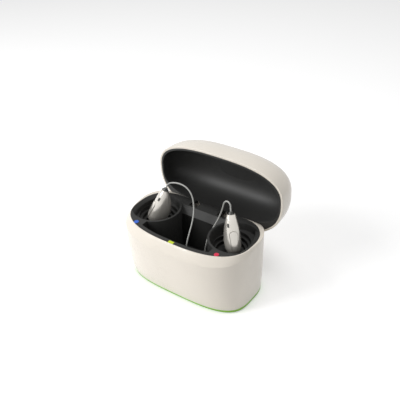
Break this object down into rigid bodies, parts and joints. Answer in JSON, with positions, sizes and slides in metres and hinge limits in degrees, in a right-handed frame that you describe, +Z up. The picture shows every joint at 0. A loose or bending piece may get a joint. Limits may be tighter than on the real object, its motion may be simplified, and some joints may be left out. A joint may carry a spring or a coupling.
{
  "type": "hearing aid charger",
  "caption": "Oval desktop charging case with a hinged lid, two lit wells and a middle compartment, shown open with receiver-in-canal hearing aids docked on sprung charging pins.",
  "frame": {"origin": "on the surface it stands on, under the middle of the case", "axes": "+X along the case to the right-hand (red) well, the front faces -Y, the lid hinges at the back (+Y), +Z up"},
  "size_m": [0.0918, 0.0821, 0.0766],
  "materials": {
    "shell": "pearl off-white, satin gloss",
    "trim": "green, gloss",
    "charcoal": "charcoal, fine grain",
    "cover": "off-white, fine grain",
    "rubber": "matte",
    "steel": "satin",
    "contact": "gold plated",
    "blue": "gloss",
    "red": "gloss",
    "light": "lit light guide",
    "lamp": "gloss",
    "board": "solder mask",
    "chip": "moulded",
    "spring_steel": "drawn wire",
    "aid_shell": "pearl silver, gloss",
    "aid_dark": "dark grey, gloss",
    "wire": "silver grey, satin",
    "dome": "soft silicone"
  },
  "bodies": {
    "case": {"outer_shell": "shell", "base_trim": "trim", "bottom_cover": "cover", "base_pad": "rubber", "cover_screws": "steel", "tray": "charcoal", "left_cradle": "charcoal", "right_cradle": "charcoal", "left_marker": "blue", "right_marker": "red", "status_light": "light", "status_lamp": "lamp", "lamp_board": "board", "circuit_board": "board", "board_parts": "chip", "usb_socket": "steel", "pin_blocks": "charcoal", "pin_sleeves": "contact", "hinge_brackets": "charcoal", "bracket_screws": "steel", "hinge_pin": "steel", "left_spring_front": "spring_steel", "left_spring_rear": "spring_steel", "right_spring_front": "spring_steel", "right_spring_rear": "spring_steel"},
    "lid": {"lid_shell": "shell", "lid_liner": "charcoal", "lid_arms": "charcoal"},
    "left_aid": {"left_aid_housing": "aid_shell", "left_aid_cap": "aid_dark", "left_aid_screens": "aid_dark", "left_aid_contacts": "contact", "left_wire": "wire", "left_receiver": "aid_dark", "left_dome": "dome"},
    "left_button": {"left_aid_button": "aid_shell"},
    "left_front_pin": {"left_pin_front": "contact"},
    "left_rear_pin": {"left_pin_rear": "contact"},
    "right_aid": {"right_aid_housing": "aid_shell", "right_aid_cap": "aid_dark", "right_aid_screens": "aid_dark", "right_aid_contacts": "contact", "right_wire": "wire", "right_receiver": "aid_dark", "right_dome": "dome"},
    "right_button": {"right_aid_button": "aid_shell"},
    "right_front_pin": {"right_pin_front": "contact"},
    "right_rear_pin": {"right_pin_rear": "contact"}
  },
  "joints": [
    {"name": "lid_hinge", "type": "hinge", "parent": "case", "child": "lid", "pos_m": [0, 0.016, 0.0334], "axis": [-1, 0, 0], "range_deg": [-90, 0]},
    {"name": "left_aid_lift", "type": "slide", "parent": "case", "child": "left_aid", "axis": [0.245, 0.257, 0.9348], "range_m": [0, 0.02]},
    {"name": "left_button_press", "type": "slide", "parent": "left_aid", "child": "left_button", "axis": [0.65, 0.6719, -0.3551], "range_m": [0, 0.0003], "stiffness_N_per_m": 3000},
    {"name": "left_front_pin_press", "type": "slide", "parent": "case", "child": "left_front_pin", "axis": [0, 0, 1], "range_m": [-0.0008, 0], "stiffness_N_per_m": 400, "springref_m": 0.0002, "deforming": ["left_spring_front"]},
    {"name": "left_rear_pin_press", "type": "slide", "parent": "case", "child": "left_rear_pin", "axis": [0, 0, 1], "range_m": [-0.0008, 0], "stiffness_N_per_m": 400, "springref_m": 0.0002, "deforming": ["left_spring_rear"]},
    {"name": "right_aid_lift", "type": "slide", "parent": "case", "child": "right_aid", "axis": [-0.245, 0.257, 0.9348], "range_m": [0, 0.02]},
    {"name": "right_button_press", "type": "slide", "parent": "right_aid", "child": "right_button", "axis": [-0.65, 0.6719, -0.3551], "range_m": [0, 0.0003], "stiffness_N_per_m": 3000},
    {"name": "right_front_pin_press", "type": "slide", "parent": "case", "child": "right_front_pin", "axis": [0, 0, 1], "range_m": [-0.0008, 0], "stiffness_N_per_m": 400, "springref_m": 0.0002, "deforming": ["right_spring_front"]},
    {"name": "right_rear_pin_press", "type": "slide", "parent": "case", "child": "right_rear_pin", "axis": [0, 0, 1], "range_m": [-0.0008, 0], "stiffness_N_per_m": 400, "springref_m": 0.0002, "deforming": ["right_spring_rear"]}
  ]
}
